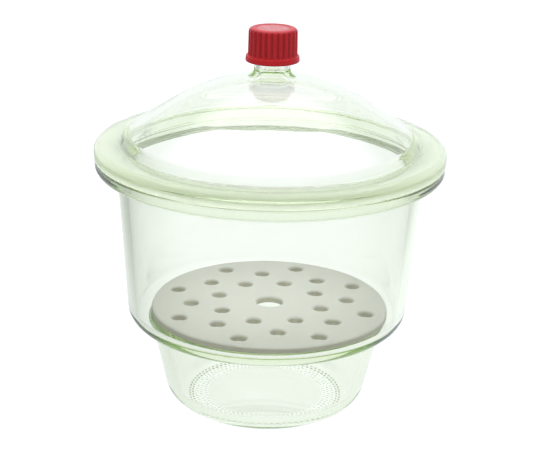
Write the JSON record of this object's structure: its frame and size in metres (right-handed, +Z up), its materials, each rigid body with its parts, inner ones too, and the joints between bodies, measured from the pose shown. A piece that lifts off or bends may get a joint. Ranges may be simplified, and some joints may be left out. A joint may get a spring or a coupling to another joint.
{
  "type": "laboratory desiccator",
  "caption": "Glass desiccator: thick bowl on a stepped foot, perforated plate, domed lid with a ground flange, and a threaded neck closed by a ribbed screw cap.",
  "frame": {"origin": "centre of the foot's underside, on the surface that the desiccator stands on", "axes": "+Z up along the axis of the bowl, the lid, the plate and the cap"},
  "size_m": [0.27, 0.27, 0.3009],
  "materials": {
    "glass": "clear borosilicate, pale green in its depth, ground matt on the two flange faces",
    "porcelain": "opaque glazed porcelain, off-white",
    "seal": "faced silicone, matt white",
    "cap_plastic": "moulded, satin, deep red"
  },
  "bodies": {
    "base": {"glass_base": "glass"},
    "plate": {"porcelain_plate": "porcelain"},
    "lid": {"glass_lid": "glass"},
    "seal": {"cap_seal": "seal"},
    "cap": {"screw_cap": "cap_plastic"}
  },
  "joints": [
    {"name": "lid_lift", "type": "slide", "parent": "base", "child": "lid", "axis": [0, 0, 1], "range_m": [0, 0.16]},
    {"name": "plate_lift", "type": "slide", "parent": "base", "child": "plate", "axis": [0, 0, 1], "range_m": [0, 0.128]},
    {"name": "seal_rise", "type": "slide", "parent": "lid", "child": "seal", "axis": [0, 0, 1], "range_m": [0, 0.0112]},
    {"name": "cap_turn", "type": "hinge", "parent": "seal", "child": "cap", "pos_m": [0, 0, 0.29], "axis": [0, 0, 1], "range_deg": [0, 1000]}
  ],
  "couplings": [
    {"joint": "seal_rise", "follows": "cap_turn", "m_per_rad": 0.00063662}
  ]
}
